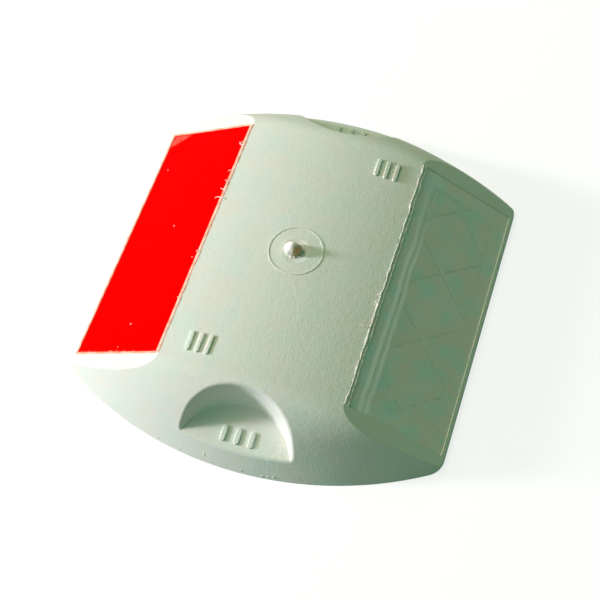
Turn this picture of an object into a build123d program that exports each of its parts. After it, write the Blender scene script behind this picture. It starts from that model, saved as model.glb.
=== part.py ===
from build123d import *
from math import cos, hypot, radians, sin, sqrt, tan
import os

# A reflective road stud: a moulded body that is glued to the road, with a sloping lens on each traffic side.
# Millimetres and degrees. X runs along the traffic, Y along the lenses and Z up from the road.
# The origin is the middle of the base.

# Overall size
LENGTH = 91.0  # along the traffic
WIDTH = 100.0  # across the traffic, over the rounded ends
HEIGHT = 17.0  # road to the top of the crown

# Outer form of the body
CROWN_RADIUS = 120.0  # arc of the top, seen along the lenses
END_RADIUS = 83.0  # arc of each end, seen from above
END_SLOPE = 58.0  # steepness of the ends above the road
SHOULDER_RADIUS = 19.0  # arc that turns each end towards the crown
SHOULDER_RISE = 1.2  # that arc would level out this far above the crown
CREST_RADIUS = 6.0  # softens the line where shoulder and crown meet
CORNER_RADIUS = 5.0  # the four corners, seen from above
LENS_SLOPE = 30.6  # steepness of the lens faces above the road
FACE_EDGE = 0.5  # rounding of the edges of each lens face

# Strips of body round each lens
RIM_HEIGHT = 1.0  # upright edge of the body below the lens face
RIM_WIDTH = 1.0  # between that edge and the lens
CROWN_BORDER = 0.7  # between the lens and the crown
END_BORDER = 2.0  # between the lens and the shoulder, at the crown

# Lenses, prism sheets and their seats
LENS_THICKNESS = 0.8
LENS_CORNER = 0.6
LENS_SINK = 0.1  # below the face of the body
LENS_CLEARANCE = 0.12  # round the lens in its seat
WELD_BORDER = 2.0  # ledge that the lens edge is welded to
SHEET_THICKNESS = 0.4
SHEET_CLEARANCE = 0.1  # round the prism sheet inside the ledge
AIR_DEPTH = 0.6  # air cells behind the prism sheet
RIB_PITCH = 18.4  # crossed weld ribs, along Y
RIB_WIDTH = 0.7

# Finger grips in the two ends
GRIP_RADIUS = 13.8  # of the floor, about the end of the body
GRIP_FLOOR = 4.0  # height of the floor at the end of the body
GRIP_FALL = 12.0  # fall of the floor towards the end
GRIP_DRAFT = 14.0  # lean of the wall from a right angle to the floor
GRIP_RIM = 1.0  # rounding of the rim
GRIP_CORNER = 0.5  # rounding between wall and floor

# Honeycomb of the underside
SKIN = 2.4  # wall over the cells
SEAT_WALL = 1.4  # wall between the cells and a lens seat
CELL_FLATS = 9.0  # across the flats
CELL_RIB = 1.3  # wall between cells
LEAST_CELL = 0.6  # share of a whole cell that an edge cell must have

# Feed mark on the crown
RING_RADIUS = 6.4
RING_WIDTH = 0.3
RING_HEIGHT = 0.1
DIMPLE_RADIUS = 3.4
DIMPLE_DEPTH = 0.4
STUB_FOOT_RADIUS = 2.0
STUB_TIP_RADIUS = 0.6
STUB_HEIGHT = 2.2  # to the tip, above the crown
STUB_OFFSET = -0.9  # from the middle of the ring, along X
BREAK_SLOPE = 28.0  # lean of the two faces of the broken tip
BREAK_TURN = 130.0  # between those faces, seen from above

# Values worked out from the sizes above
SIDES = (-1, 1)
REACH = LENGTH + WIDTH  # longer than the body in any direction
SHOULDER_LEVEL = HEIGHT + SHOULDER_RISE - SHOULDER_RADIUS  # height of the centre of the shoulder's arc
END_AXIS = WIDTH / 2 - END_RADIUS  # where the far end is turned about, along Y
LEDGE_DEPTH = LENS_SINK + LENS_THICKNESS
RIB_DEPTH = LEDGE_DEPTH + SHEET_THICKNESS
SEAT_DEPTH = RIB_DEPTH + AIR_DEPTH
CELL_PITCH = CELL_FLATS + CELL_RIB


def shoulder_centre():
    """The centre of the shoulder's arc: its distance from the end's upright axis, and its height."""
    slope = radians(END_SLOPE)
    bend_z = SHOULDER_LEVEL + SHOULDER_RADIUS * cos(slope)
    return Vector(END_RADIUS - bend_z / tan(slope) - SHOULDER_RADIUS * sin(slope), SHOULDER_LEVEL)


def face_length():
    """How far a lens face runs up its slope before it meets the crown."""
    slope = radians(LENS_SLOPE)
    from_axis = Vector(LENGTH / 2, RIM_HEIGHT - HEIGHT + CROWN_RADIUS)
    along = from_axis.dot(Vector(-cos(slope), sin(slope)))
    return -along + sqrt(along**2 + CROWN_RADIUS**2 - from_axis.length**2)


def face_half_width():
    """Half the width of a lens face where it meets the crown."""
    slope = radians(LENS_SLOPE)
    x = LENGTH / 2 - face_length() * cos(slope)
    z = RIM_HEIGHT + face_length() * sin(slope)
    centre = shoulder_centre()
    reach = centre.X + sqrt(SHOULDER_RADIUS**2 - (z - centre.Y) ** 2)
    return sqrt(reach**2 - x**2) + END_AXIS


LENS_WIDTH = face_length() - RIM_WIDTH - CROWN_BORDER  # up the slope
LENS_LENGTH = 2 * (face_half_width() - END_BORDER)  # along Y
RECESS_WIDTH = LENS_WIDTH - 2 * WELD_BORDER
RECESS_LENGTH = LENS_LENGTH - 2 * WELD_BORDER


def half_space(plane):
    """A block larger than the body, on the side of a plane that its z axis points to."""
    return plane * Box(REACH, REACH, REACH, align=(Align.CENTER, Align.CENTER, Align.MIN))


def lens_plane(side):
    """The plane of one lens face: the lens's middle, x up the slope and z out of the face."""
    slope = radians(LENS_SLOPE)
    up_the_slope = Vector(-side * cos(slope), 0, sin(slope))
    foot = Vector(side * LENGTH / 2, 0, RIM_HEIGHT)
    middle = foot + up_the_slope * (RIM_WIDTH + LENS_WIDTH / 2)
    return Plane(middle, x_dir=up_the_slope, z_dir=(side * sin(slope), 0, cos(slope)))


def end_form(side, skin):
    """One rounded end, turned about its upright axis: a steep flank and the shoulder's arc, taken in by skin."""
    slope = radians(END_SLOPE)
    radius = SHOULDER_RADIUS - skin
    centre = shoulder_centre()
    bend = centre + Vector(sin(slope), cos(slope)) * radius
    foot = bend + Vector(cos(slope), -sin(slope)) * HEIGHT / sin(slope)
    middle = centre + Vector(sin(slope / 2), cos(slope / 2)) * radius
    top = centre + Vector(0, radius)
    outline = Polyline(top, (0, top.Y), (0, foot.Y), foot, bend) + ThreePointArc(bend, middle, top)
    return Pos(0, side * END_AXIS, 0) * revolve(Plane.XZ * make_face(outline), Axis.Z)


def crown(skin):
    """The arched top, a drum along Y, taken in by skin."""
    drum = Cylinder(CROWN_RADIUS - skin, 2 * WIDTH, rotation=(90, 0, 0))
    return Pos(0, 0, HEIGHT - CROWN_RADIUS) * drum


def domed_block(skin):
    """The crown between the two ends, taken in by skin, with sharp crest lines."""
    block = crown(skin) & Box(LENGTH, 2 * WIDTH, 4 * HEIGHT)
    for side in SIDES:
        block &= end_form(side, skin)
    return block


def plan_outline(skin):
    """The base seen from above, taken in by skin."""
    outline = Rectangle(LENGTH - 2 * skin, WIDTH)
    for side in SIDES:
        outline &= Pos(0, side * END_AXIS) * Circle(END_RADIUS - skin)
    return fillet(outline.vertices(), CORNER_RADIUS)


def outer_form():
    """The body without grips, seats and cells."""
    block = domed_block(0)
    form = fillet(block.edges().group_by(Axis.Z)[-1], CREST_RADIUS)
    form &= extrude(plan_outline(0), HEIGHT)
    for side in SIDES:
        form -= half_space(lens_plane(side))
    faces = [form.faces().filter_by(lens_plane(side))[0] for side in SIDES]
    return fillet([edge for face in faces for edge in face.edges()], FACE_EDGE)


def grip_plane(side):
    """The plane of one finger grip's floor, at the end of the body."""
    fall = radians(GRIP_FALL)
    return Plane((0, side * WIDTH / 2, GRIP_FLOOR), x_dir=(1, 0, 0), z_dir=(0, side * sin(fall), cos(fall)))


def grip_tool(side, skin):
    """The space of one finger grip, a cone that stands on the floor, grown by skin."""
    draft = radians(GRIP_DRAFT)
    foot_radius = GRIP_RADIUS + skin / cos(draft) - skin * tan(draft)
    tall = 2 * HEIGHT
    cone = Cone(foot_radius, foot_radius + tall * tan(draft), tall, align=(Align.CENTER, Align.CENTER, Align.MIN))
    return grip_plane(side).offset(-skin) * cone


def with_grips(form):
    """A form with the two finger grips cut in, rounded at the foot of their walls and at their rims."""
    tools = []
    for side in SIDES:
        tool = grip_tool(side, 0)
        floor = tool.faces().filter_by(grip_plane(side)).sort_by(Axis.Z)[0]
        tools.append(fillet(floor.edges(), GRIP_CORNER))
    cut = form - tools
    return fillet(new_edges(form, *tools, combined=cut), GRIP_RIM)


def air_cells():
    """The hollows between the crossed weld ribs of a seat, in the plane of the lens face."""
    field = Rectangle(RECESS_WIDTH, RECESS_LENGTH)
    rib = Rectangle(2 * hypot(RECESS_WIDTH, RIB_PITCH), RIB_WIDTH)
    lean = Vector(RECESS_WIDTH, RIB_PITCH).get_angle(Vector(1, 0))
    count = round(RECESS_LENGTH / RIB_PITCH / 2) + 1
    for step in range(-count, count):
        for turn in SIDES:
            field -= Pos(0, (step + 0.5) * RIB_PITCH) * Rot(0, 0, turn * lean) * rib
    return Pos(0, 0, -RIB_DEPTH) * extrude(field, -AIR_DEPTH)


def lens_seat():
    """What one lens seat takes out of the body, in the plane of the lens face."""
    seat = extrude(RectangleRounded(LENS_WIDTH, LENS_LENGTH, LENS_CORNER), -LEDGE_DEPTH)
    seat += extrude(Rectangle(RECESS_WIDTH, RECESS_LENGTH), -RIB_DEPTH)
    return seat + air_cells()


def hollow_core():
    """The space inside the skin that the cells of the underside may fill."""
    core = domed_block(SKIN) & extrude(plan_outline(SKIN), HEIGHT)
    for side in SIDES:
        core -= half_space(lens_plane(side).offset(-SEAT_DEPTH - SEAT_WALL))
        core -= grip_tool(side, SKIN)
    return core


def mouth_area(cell):
    """The area of a cell's mouth in the base."""
    return cell.faces().sort_by(Axis.Z)[0].area


def roof_height(x):
    """The height of the flat roof of a cell whose middle is at x, under the crown's skin."""
    low_side = abs(x) + CELL_FLATS / 2
    return HEIGHT - CROWN_RADIUS + sqrt(CROWN_RADIUS**2 - low_side**2) - SKIN


def honeycomb():
    """The open cells of the underside, all but the one below the feed mark."""
    core = hollow_core()
    hexagon = RegularPolygon(CELL_FLATS / 2, 6, major_radius=False, rotation=30)
    row_pitch = CELL_PITCH * sqrt(3) / 2
    rows = round(WIDTH / row_pitch / 2)
    columns = round(LENGTH / CELL_PITCH / 2) + 1
    cells = []
    for row in range(-rows, rows + 1):
        for column in range(-columns, columns + 1):
            if row == 0 and column == 0:
                continue
            x = (column + row % 2 / 2) * CELL_PITCH
            inside = core & Pos(x, row * row_pitch) * extrude(hexagon, roof_height(x))
            cells += [cell for cell in inside.solids() if mouth_area(cell) > LEAST_CELL * hexagon.area]
    return cells


def feed_ring():
    """The thin raised ring round the feed, standing in the crown's skin."""
    outer = RING_RADIUS + RING_WIDTH / 2
    inner = RING_RADIUS - RING_WIDTH / 2
    tube = Pos(0, 0, HEIGHT) * (Cylinder(outer, HEIGHT) - Cylinder(inner, HEIGHT))
    return tube & crown(-RING_HEIGHT) - crown(SKIN / 2)


def feed_dimple():
    """The shallow round dimple that the feed stub stands in."""
    ball_radius = (DIMPLE_RADIUS**2 + DIMPLE_DEPTH**2) / (2 * DIMPLE_DEPTH)
    return Pos(0, 0, HEIGHT - DIMPLE_DEPTH + ball_radius) * Sphere(ball_radius)


def feed_stub():
    """The broken-off feed: a tapered pin that starts in the crown's skin and ends in two slanted faces."""
    foot = HEIGHT - SKIN / 2
    tall = HEIGHT + STUB_HEIGHT - foot
    stub = Cone(STUB_FOOT_RADIUS, STUB_TIP_RADIUS, tall, align=(Align.CENTER, Align.CENTER, Align.MIN))
    slope = radians(BREAK_SLOPE)
    snap = Plane((0, 0, tall - STUB_TIP_RADIUS * tan(slope)), z_dir=(sin(slope), 0, cos(slope)))
    for turn in (0, BREAK_TURN):
        stub -= Rot(0, 0, turn) * half_space(snap)
    return Pos(STUB_OFFSET, 0, foot) * stub


def body_shell():
    """The moulded body."""
    body = with_grips(outer_form())
    body -= [lens_plane(side) * lens_seat() for side in SIDES]
    body -= honeycomb()
    return body - feed_dimple() + feed_ring() + feed_stub()


def lens(side):
    """One lens plate, lying on the ledge of its seat."""
    outline = RectangleRounded(LENS_WIDTH - 2 * LENS_CLEARANCE, LENS_LENGTH - 2 * LENS_CLEARANCE, LENS_CORNER)
    return lens_plane(side).offset(-LENS_SINK) * extrude(outline, -LENS_THICKNESS)


def prism_sheet(side):
    """One prism sheet, between the lens and the crossed ribs of its seat."""
    outline = Rectangle(RECESS_WIDTH - 2 * SHEET_CLEARANCE, RECESS_LENGTH - 2 * SHEET_CLEARANCE)
    return lens_plane(side).offset(-LEDGE_DEPTH) * extrude(outline, -SHEET_THICKNESS)


os.makedirs("parts", exist_ok=True)
export_step(body_shell(), "parts/body_shell.step")
for colour, side in (("red", -1), ("clear", 1)):
    export_step(lens(side), f"parts/{colour}_lens.step")
    export_step(prism_sheet(side), f"parts/{colour}_prism_sheet.step")
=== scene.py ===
# %% [markdown]
# # A reflective road stud
# A stud like this is glued to the road. Its pale moulded body carries a sloping lens on each
# traffic side, one red and one clear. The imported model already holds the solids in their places.
# This lesson sets up the photograph's view and light, gives each surface its finish, and adds the
# traces of moulding and welding that a solid model leaves out.

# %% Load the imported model
import math
import random

import bmesh
import bpy
from mathutils import Matrix, Vector
from mathutils.bvhtree import BVHTree
from mathutils.noise import noise as noise_at


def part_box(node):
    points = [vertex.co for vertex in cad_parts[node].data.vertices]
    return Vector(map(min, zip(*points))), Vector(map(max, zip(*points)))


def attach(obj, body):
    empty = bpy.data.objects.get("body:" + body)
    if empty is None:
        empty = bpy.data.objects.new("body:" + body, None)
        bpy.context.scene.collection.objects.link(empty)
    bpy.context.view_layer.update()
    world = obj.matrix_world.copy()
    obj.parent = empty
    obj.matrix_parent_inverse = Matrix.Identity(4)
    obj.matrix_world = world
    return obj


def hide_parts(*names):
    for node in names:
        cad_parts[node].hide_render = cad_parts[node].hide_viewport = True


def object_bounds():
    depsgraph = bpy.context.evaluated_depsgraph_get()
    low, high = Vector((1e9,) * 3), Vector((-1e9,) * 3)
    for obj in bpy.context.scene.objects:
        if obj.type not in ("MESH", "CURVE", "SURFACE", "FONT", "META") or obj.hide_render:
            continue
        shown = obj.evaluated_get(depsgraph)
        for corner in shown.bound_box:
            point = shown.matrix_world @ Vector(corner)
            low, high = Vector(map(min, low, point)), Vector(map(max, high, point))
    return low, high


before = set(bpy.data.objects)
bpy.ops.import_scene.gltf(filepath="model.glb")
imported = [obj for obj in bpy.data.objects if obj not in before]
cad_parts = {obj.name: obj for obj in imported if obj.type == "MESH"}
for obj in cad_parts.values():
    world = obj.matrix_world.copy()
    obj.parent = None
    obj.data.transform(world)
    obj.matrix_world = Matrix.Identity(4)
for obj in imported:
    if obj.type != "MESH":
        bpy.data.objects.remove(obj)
cad_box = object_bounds()
scene = bpy.context.scene
MM = 0.001  # a millimetre, in Blender's metres


def in_mm(*sizes):
    """Sizes in millimetres, rounded to be printed."""
    return [round(size / MM, 2) for size in sizes]


print("nodes", sorted(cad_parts))
print("size in mm", in_mm(*cad_box[1] - cad_box[0]))

# %% [markdown]
# ## The camera
# The photograph was taken from above the near end, turned a little towards the clear lens. A camera
# could be placed by eye. Here the corners of the two lenses are known points, and a camera fitted
# to them gave the angles and the distance below. The picture was cropped after it was taken, so its
# middle isn't the middle of the camera's view, and a small shift puts that right.

# %% Camera
VIEW_TURN = 21.33  # degrees round the stud, from the near end towards the clear lens
VIEW_TILT = 60.15  # degrees above the road
VIEW_ROLL = -4.01  # degrees about the line of sight
VIEW_DISTANCE = 317 * MM
FOCAL_LENGTH = 77.96  # millimetres, on Blender's 36 mm sensor
CROP_SHIFT = (0.00275, -0.0219)  # as shares of the picture's side
NEAREST = 10 * MM  # from the camera, where things begin to show
RIGHT_ANGLE = 90  # degrees
MATRIX_SIZE = 4


def turned(degrees, axis):
    """A rotation about an axis."""
    return Matrix.Rotation(math.radians(degrees), MATRIX_SIZE, axis)


camera_data = bpy.data.cameras.new("camera")
camera_data.lens = FOCAL_LENGTH
camera_data.shift_x, camera_data.shift_y = CROP_SHIFT
camera_data.clip_start = NEAREST
camera = bpy.data.objects.new("camera", camera_data)
scene.collection.objects.link(camera)
aim = turned(VIEW_TURN, "Z") @ turned(RIGHT_ANGLE - VIEW_TILT, "X") @ turned(VIEW_ROLL, "Z")
camera.matrix_world = aim @ Matrix.Translation((0, 0, VIEW_DISTANCE))
scene.camera = camera
scene.view_settings.view_transform = "Standard"
print("camera at, in mm", in_mm(*camera.matrix_world.translation))

# %% [markdown]
# ## Helpers for node trees
# A material is a tree of nodes, and each node needs the same three things: its settings, its input
# values and its links. They could be typed out for every node. One helper that does all three is
# shorter, and a material below then reads as a list of what it is made of.

# %% Node helper
def put(tree, socket, value):
    """Gives a socket a value, or links it to the socket that feeds it."""
    if isinstance(value, bpy.types.NodeSocket):
        tree.links.new(value, socket)
    else:
        socket.default_value = value


def node(tree, kind, inputs=None, **settings):
    """Adds a node with its settings and its inputs."""
    made = tree.nodes.new(kind)
    for name, value in settings.items():
        setattr(made, name, value)
    for name, value in (inputs or {}).items():
        put(tree, made.inputs[name], value)
    return made


def tell(*helpers):
    """Prints the names of the helpers that a cell has made."""
    print("helpers", [helper.__name__ for helper in helpers])


tell(put, node)

# %% [markdown]
# ## Helpers for values and colours
# Most of a material is made of a few kinds of sum: add or multiply two values, turn one range of
# values into another with soft ends, blend two colours, and make soft noise. Each gets a short
# name. A Mix node holds sockets for values, vectors and colours side by side, so its colour sockets
# are picked by number.

# %% Sums and ramps
def sum_of(tree, operation, first, *others):
    """One kind of sum on a value and on each of the others in turn."""
    for other in others or (0.0,):
        first = node(tree, "ShaderNodeMath", {0: first, 1: other}, operation=operation).outputs[0]
    return first


def ramp(tree, value, low, high, at_low=0.0, at_high=1.0):
    """A value that runs smoothly from at_low to at_high while the input runs from low to high."""
    inputs = {"Value": value, "From Min": low, "From Max": high, "To Min": at_low, "To Max": at_high}
    return node(tree, "ShaderNodeMapRange", inputs, interpolation_type="SMOOTHSTEP").outputs["Result"]


tell(sum_of, ramp)

# %% Blends, noise and places
MIX_SHARE, MIX_FIRST, MIX_SECOND = 0, 6, 7
MIX_RESULT = 2
NOISE_DETAIL = 2.0


def blend(tree, share, first, second):
    """The first colour where share is 0 and the second where it is 1."""
    inputs = {MIX_SHARE: share, MIX_FIRST: first, MIX_SECOND: second}
    return node(tree, "ShaderNodeMix", inputs, data_type="RGBA").outputs[MIX_RESULT]


def noise(tree, place, spacing):
    """Soft noise from 0 to 1, in blotches about as wide as spacing."""
    inputs = {"Vector": place, "Scale": sum_of(tree, "DIVIDE", 1.0, spacing), "Detail": NOISE_DETAIL}
    return node(tree, "ShaderNodeTexNoise", inputs).outputs["Fac"]


def object_place(tree):
    """Where a point of the surface is, in metres."""
    return node(tree, "ShaderNodeTexCoord").outputs["Object"]


def axes_of(tree, place):
    """The x, y and z of a place."""
    return node(tree, "ShaderNodeSeparateXYZ", {0: place}).outputs


tell(blend, noise, object_place, axes_of)

# %% [markdown]
# ## Helpers for materials
# Every finish of the stud is one Principled shader with a colour, a roughness between two values
# and often a bump. Those lines could stand in each material, but then what sets one apart would be
# hard to see. What stays the same all over a surface, such as how strongly it mirrors, goes
# straight into the shader's own socket.

# %% Material helpers
def empty_material(name):
    """A material whose tree is still empty."""
    material = bpy.data.materials.new(name)
    material.use_nodes = True
    material.node_tree.nodes.clear()
    return material, material.node_tree


def new_material(name):
    """A material whose tree holds only a Principled shader and its output."""
    material, tree = empty_material(name)
    shader = node(tree, "ShaderNodeBsdfPrincipled")
    node(tree, "ShaderNodeOutputMaterial", {"Surface": shader.outputs["BSDF"]})
    return material, tree, shader


def dress(tree, shader, colour, mask, roughness, gloss=None):
    """Gives a shader its colour, a roughness that follows a mask and, if given, its gloss."""
    put(tree, shader.inputs["Base Color"], colour)
    put(tree, shader.inputs["Roughness"], ramp(tree, mask, 0, 1, *roughness))
    if gloss is not None:
        put(tree, shader.inputs["Specular IOR Level"], gloss)


def add_bump(tree, shader, height, strength, depth):
    """Lets a height tilt the light on a surface."""
    inputs = {"Height": height, "Strength": strength, "Distance": depth}
    put(tree, shader.inputs["Normal"], node(tree, "ShaderNodeBump", inputs).outputs["Normal"])


tell(empty_material, new_material, dress, add_bump)

# %% [markdown]
# ## Floor
# The ground in the picture is white. More light would make a grey floor white, but it would burn
# out the stud as well. So the floor is a pale diffuse disc that also glows for rays from the
# camera, just enough to come out white where the lamps reach it. It lights the stud no more than a
# grey card would, and it keeps the stud's shadow.

# %% Floor material
FLOOR_COLOUR = (0.36, 0.36, 0.36, 1)
FLOOR_GLOW = 0.77
WHITE = (1, 1, 1, 1)


def seen_directly(tree):
    """1 for rays from the camera, also mirrored or through clear plastic, and 0 for the light on things."""
    path = node(tree, "ShaderNodeLightPath").outputs
    rays = [path[kind] for kind in ("Is Camera Ray", "Is Glossy Ray", "Is Transmission Ray")]
    return sum_of(tree, "MAXIMUM", *rays)


def floor_material():
    """A pale floor that the camera sees as white with a faint shadow."""
    material, tree = empty_material("pale_floor")
    plain = node(tree, "ShaderNodeBsdfDiffuse", {"Color": FLOOR_COLOUR})
    level = sum_of(tree, "MULTIPLY", seen_directly(tree), FLOOR_GLOW)
    glow = node(tree, "ShaderNodeEmission", {"Color": WHITE, "Strength": level})
    both = node(tree, "ShaderNodeAddShader", {0: plain.outputs[0], 1: glow.outputs[0]})
    node(tree, "ShaderNodeOutputMaterial", {"Surface": both.outputs[0]})
    return material


PALE_FLOOR = floor_material()
print("floor material", PALE_FLOOR.name)

# %% Floor
FLOOR_RADIUS = 2.0
FLOOR_SIDES = 64


def link_mesh(name, shape, *materials):
    """Turns a bmesh into an object at the origin, with its place in its mesh."""
    bmesh.ops.recalc_face_normals(shape, faces=shape.faces)
    loose = sum(not edge.is_manifold for edge in shape.edges)
    mesh = bpy.data.meshes.new(name)
    shape.to_mesh(mesh)
    shape.free()
    for material in materials:
        mesh.materials.append(material)
    made = bpy.data.objects.new(name, mesh)
    scene.collection.objects.link(made)
    print(name, "has", len(mesh.polygons), "faces and", loose, "open edges")
    return made


floor_shape = bmesh.new()
bmesh.ops.create_circle(floor_shape, cap_ends=True, segments=FLOOR_SIDES, radius=FLOOR_RADIUS)
link_mesh("floor", floor_shape, PALE_FLOOR)

# %% [markdown]
# ## Sky
# The sky does two jobs. To the camera, and in mirrors, it is plain white like the ground. Where it
# lights things it is a faint green fill, which is the colour of the photograph's shadows. One plain
# sky for both would be either too bright on the stud or grey behind it, so a Mix Shader node picks
# between the two.

# %% Sky
SKY_COLOUR = (0.34, 1.0, 0.56, 1)
SKY_LEVEL = 0.183
SEEN_LEVEL = 1.0

world = bpy.data.worlds.new("sky")
world.use_nodes = True
scene.world = world
sky = world.node_tree
sky.nodes.clear()
lit = node(sky, "ShaderNodeBackground", {"Color": SKY_COLOUR, "Strength": SKY_LEVEL})
seen = node(sky, "ShaderNodeBackground", {"Color": WHITE, "Strength": SEEN_LEVEL})
either = node(sky, "ShaderNodeMixShader", {0: seen_directly(sky), 1: lit.outputs[0], 2: seen.outputs[0]})
node(sky, "ShaderNodeOutputWorld", {"Surface": either.outputs[0]})
print("sky lights at", SKY_LEVEL, "and is seen at", SEEN_LEVEL)

# %% [markdown]
# ## Three lamps
# The feed stub throws a long shadow towards the clear lens, so the main lamp stands low on the red
# lens's side. A wide warm lamp stands higher on the same side, a little towards the far end, and a
# weak one lights the near end from the side. A picture of a real sky could light the stud as well,
# but three lamps can be fitted one by one. Each lamp is given by its level: how bright a white card
# would come out that faces it. That keeps the light plain, so a colour renders about as it is
# written.

# %% Lamps
def studio_lamp(name, turn, tilt, distance, side, level, colour):
    """A square lamp that faces the stud: degrees from the clear lens's side, and above the road."""
    data = bpy.data.lights.new(name, "AREA")
    data.size = side
    data.energy = level * (math.pi * distance) ** 2
    data.color = colour
    made = bpy.data.objects.new(name, data)
    scene.collection.objects.link(made)
    towards = turned(turn, "Z") @ turned(RIGHT_ANGLE - tilt, "Y")
    made.matrix_world = towards @ Matrix.Translation((0, 0, distance))
    print(name, "gives", round(data.energy, 1), "W")


studio_lamp("low_lamp", turn=190, tilt=16, distance=2.0, side=0.28, level=1.2, colour=(0.91, 0.88, 1.0))
studio_lamp("high_lamp", turn=165, tilt=45, distance=1.6, side=0.9, level=0.45, colour=(1.0, 0.83, 0.60))
studio_lamp("near_lamp", turn=222, tilt=14, distance=1.6, side=0.6, level=0.11, colour=(0.95, 0.85, 1.0))

# %% [markdown]
# ## Node groups
# Three effects turn up on more than one surface: the fine grain of a blasted mould, the slow drift
# of tint where the melt flowed, and the rows of tiny corner prisms that send light back to where it
# came from. Each could be built again in every material. As a node group it is built once and
# placed with other sizes.

# %% Group helpers
VECTOR = "NodeSocketVector"
VALUE = "NodeSocketFloat"


def new_group(name, inputs, outputs):
    """A shader node group with the named sockets, and its input and output sockets."""
    group = bpy.data.node_groups.new(name, "ShaderNodeTree")
    for label, kind in inputs.items():
        group.interface.new_socket(label, in_out="INPUT", socket_type=kind)
    for label, kind in outputs.items():
        group.interface.new_socket(label, in_out="OUTPUT", socket_type=kind)
    return group, node(group, "NodeGroupInput").outputs, node(group, "NodeGroupOutput").inputs


def use_group(tree, group, **inputs):
    """Places a group in a tree and returns its outputs."""
    return node(tree, "ShaderNodeGroup", inputs, node_tree=group).outputs


tell(new_group, use_group)

# %% [markdown]
# ## Moulded grain
# A mould that was blasted with grit leaves a fine grain, and the wall behind it shrinks into low
# swells. Two noises, one fine and one wide, add up to that height. The grain could be real
# geometry, but it is less than half a millimetre wide and far lower, so a bump is enough.

# %% Moulded grain
GRAIN_TONE = (0.3, 0.7)  # of the fine noise, from its darkest to its palest


def grain_group():
    """Fine grain on wider swells: a height for bump and a tone that follows the grain."""
    inputs = {"Place": VECTOR, "Grain": VALUE, "Swell": VALUE}
    group, given, result = new_group("moulded grain", inputs, {"Height": VALUE, "Tone": VALUE})
    fine = noise(group, given["Place"], given["Grain"])
    wide = noise(group, given["Place"], given["Swell"])
    put(group, result["Height"], sum_of(group, "ADD", fine, wide))
    put(group, result["Tone"], ramp(group, fine, *GRAIN_TONE))
    return group


GRAIN = grain_group()
print("group", GRAIN.name)

# %% [markdown]
# ## Melt drift
# Plastic that flows into a mould is never quite even, and its tint drifts in soft patches. An image
# of clouds would do, but it has edges and needs an unwrapped mesh. Noise with a narrow ramp gives
# such patches anywhere. The group gives two sets, and the second reads the same noise at a place
# far aside, so that they don't fall on each other.

# %% Melt drift
PATCH_EDGE = (0.38, 0.66)  # of the noise, from the edge of a patch to its middle
PATCH_ASIDE = (0.13, 0.29, 0.41)


def drift_group():
    """Patches of tint that run softly into each other, and a second set that lies elsewhere."""
    inputs = {"Place": VECTOR, "Patch": VALUE}
    group, given, result = new_group("melt drift", inputs, {"First": VALUE, "Second": VALUE})
    aside = node(group, "ShaderNodeMapping", {"Vector": given["Place"], "Location": PATCH_ASIDE}).outputs[0]
    for label, place in (("First", given["Place"]), ("Second", aside)):
        put(group, result[label], ramp(group, noise(group, place, given["Patch"]), *PATCH_EDGE))
    return group


DRIFT = drift_group()
print("group", DRIFT.name)

# %% [markdown]
# ## Corner prisms
# A reflective sheet is pressed with three sets of straight grooves that leave tiny three-sided
# prisms. One set of grooves is a zigzag across the sheet. Turned twice by 60 degrees it gives the
# others, and the lowest of the three at each point is the height of the prisms. The prisms could be
# modelled, but one is only half a millimetre wide and a sheet holds thousands, so this is bump as
# well.

# %% Corner prisms
GROOVE_TURNS = (0, 60, 120)  # degrees
HALF_PITCH = 0.5  # where the zigzag turns back
FULL_HEIGHT = 2.0  # brings the top of the zigzag to 1


def prism_group():
    """Corner prisms between three sets of grooves: their height, from 0 in the grooves."""
    group, given, result = new_group("corner prisms", {"Place": VECTOR, "Pitch": VALUE}, {"Height": VALUE})
    heights = []
    for turn in GROOVE_TURNS:
        inputs = {"Vector": given["Place"], "Rotation": (0, 0, math.radians(turn))}
        across = axes_of(group, node(group, "ShaderNodeMapping", inputs).outputs[0])["X"]
        pitches = sum_of(group, "DIVIDE", across, given["Pitch"])
        heights.append(sum_of(group, "PINGPONG", pitches, HALF_PITCH))
    lowest = sum_of(group, "MINIMUM", *heights)
    put(group, result["Height"], sum_of(group, "MULTIPLY", lowest, FULL_HEIGHT))
    return group


PRISMS = prism_group()
print("group", PRISMS.name)

# %% [markdown]
# ## Body plastic
# The body is one moulding in a pale plastic. Its surface is matt, with a grain that only shows in
# low light, and its tint drifts between a green and a pink cast. It could be painted as an image,
# but so fine a grain needs a large one, and the body would have to be unwrapped. Worked out from
# the place on the body, it leaves the CAD mesh as it is.

# %% Body plastic
BODY_PALE = (0.80, 0.83, 0.755, 1)
BODY_GREEN = (0.755, 0.83, 0.75, 1)
BODY_PINK = (0.83, 0.80, 0.73, 1)
BODY_PINK_SHARE = 0.7
BODY_GRAIN = 0.42 * MM
BODY_SWELL = 1.4 * MM
BODY_PATCH = 7 * MM
BODY_BUMP = 0.5
BODY_BUMP_DEPTH = 0.09 * MM
BODY_ROUGHNESS = (0.52, 0.66)
BODY_GLOSS = 0.12


def three_tints(tree, drift, colour, second, third, third_share):
    """A colour that drifts to a second in some patches, and part of the way to a third in others."""
    tint = blend(tree, drift["First"], colour, second)
    return blend(tree, sum_of(tree, "MULTIPLY", drift["Second"], third_share), tint, third)


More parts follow.
